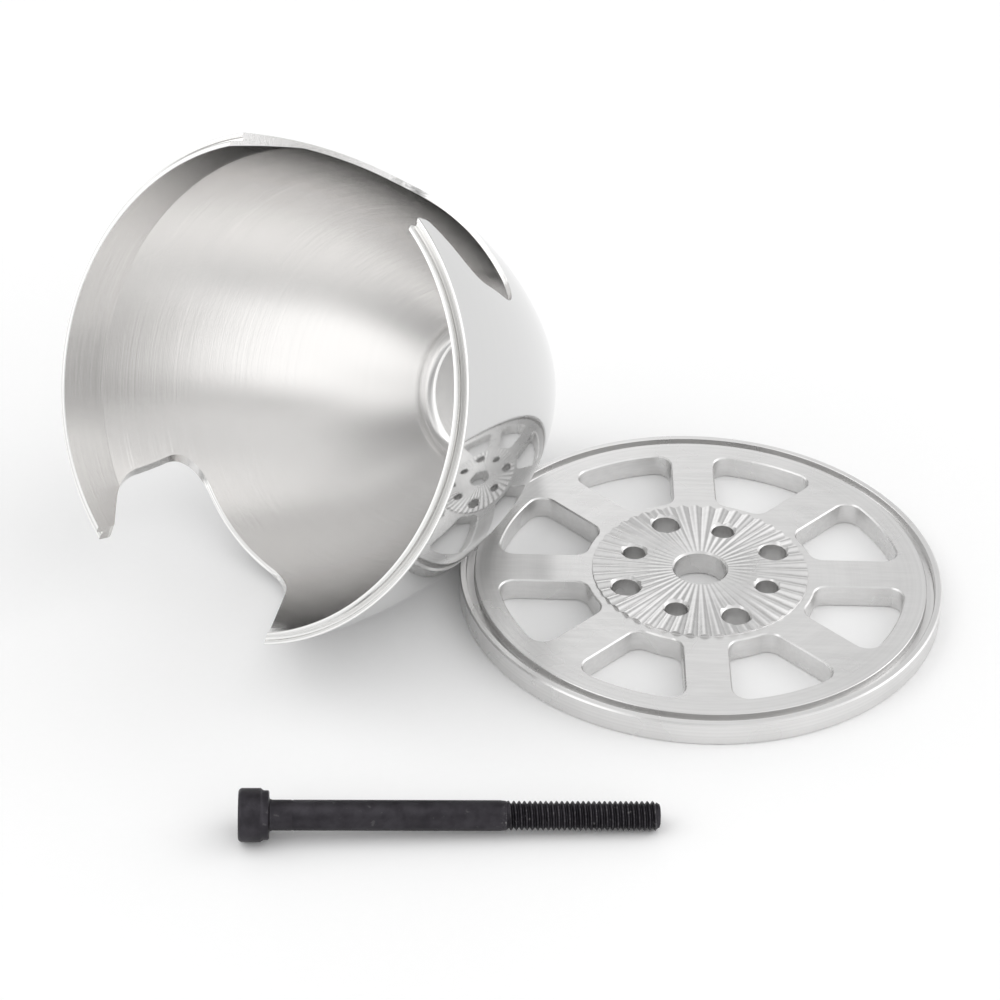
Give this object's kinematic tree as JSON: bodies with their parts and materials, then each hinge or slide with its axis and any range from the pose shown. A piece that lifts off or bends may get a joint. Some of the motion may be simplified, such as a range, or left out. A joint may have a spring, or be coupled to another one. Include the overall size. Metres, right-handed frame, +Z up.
{
  "type": "propeller spinner kit",
  "caption": "Polished ogive spinner cone with blade cut-outs, spoked backplate with a ridged hub, and a black socket-head bolt, laid out as loose pieces.",
  "frame": {"origin": "bottom centre of the layout's box: the floor the three pieces stand on, midway in X and Y", "axes": "+Z up; +X along the row from the cone to the backplate; +Y from the bolt's side towards the cone's nose. The backplate lies flat with its axis on +Z"},
  "size_m": [0.1272, 0.1, 0.0671],
  "materials": {
    "machined_aluminium": "fine turned and milled",
    "polished_aluminium": "mirror polished outside, fine turned inside",
    "black_oxide_steel": "black oxide"
  },
  "bodies": {
    "backplate": {"backplate": "machined_aluminium"},
    "spinner_cone": {"spinner_cone": "polished_aluminium"},
    "retaining_bolt": {"retaining_bolt": "black_oxide_steel"}
  },
  "joints": [
    {"name": "cone_lift", "type": "slide", "parent": "backplate", "child": "spinner_cone", "axis": [0, 0, 1], "range_m": [0, 0.08]},
    {"name": "bolt_lift", "type": "slide", "parent": "backplate", "child": "retaining_bolt", "axis": [0, 0, 1], "range_m": [0, 0.08]}
  ]
}
